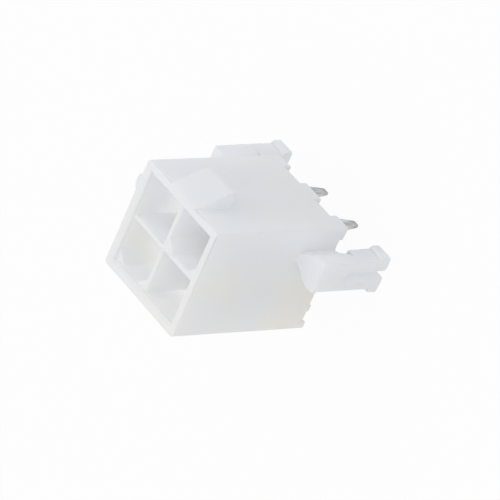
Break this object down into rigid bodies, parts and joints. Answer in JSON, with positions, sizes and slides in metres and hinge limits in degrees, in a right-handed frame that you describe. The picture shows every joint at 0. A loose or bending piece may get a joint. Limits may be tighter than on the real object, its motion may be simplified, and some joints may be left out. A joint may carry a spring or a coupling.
{
  "type": "wire-to-board connector header",
  "caption": "Vertical board header of natural nylon with two rows of plug cavities, a latch ramp, split board pegs and square pins.",
  "frame": {"origin": "centre of the housing's seat on the board, in the plane of its standoff feet", "axes": "+Z from the board to the mating mouth, +Y to the latch side, +X along the rows"},
  "size_m": [0.0154, 0.011, 0.0167],
  "materials": {
    "nylon": "satin",
    "tinned_pin": "satin"
  },
  "bodies": {
    "root": {"housing": "nylon", "pin_1": "tinned_pin", "pin_2": "tinned_pin", "pin_3": "tinned_pin", "pin_4": "tinned_pin"}
  },
  "joints": []
}
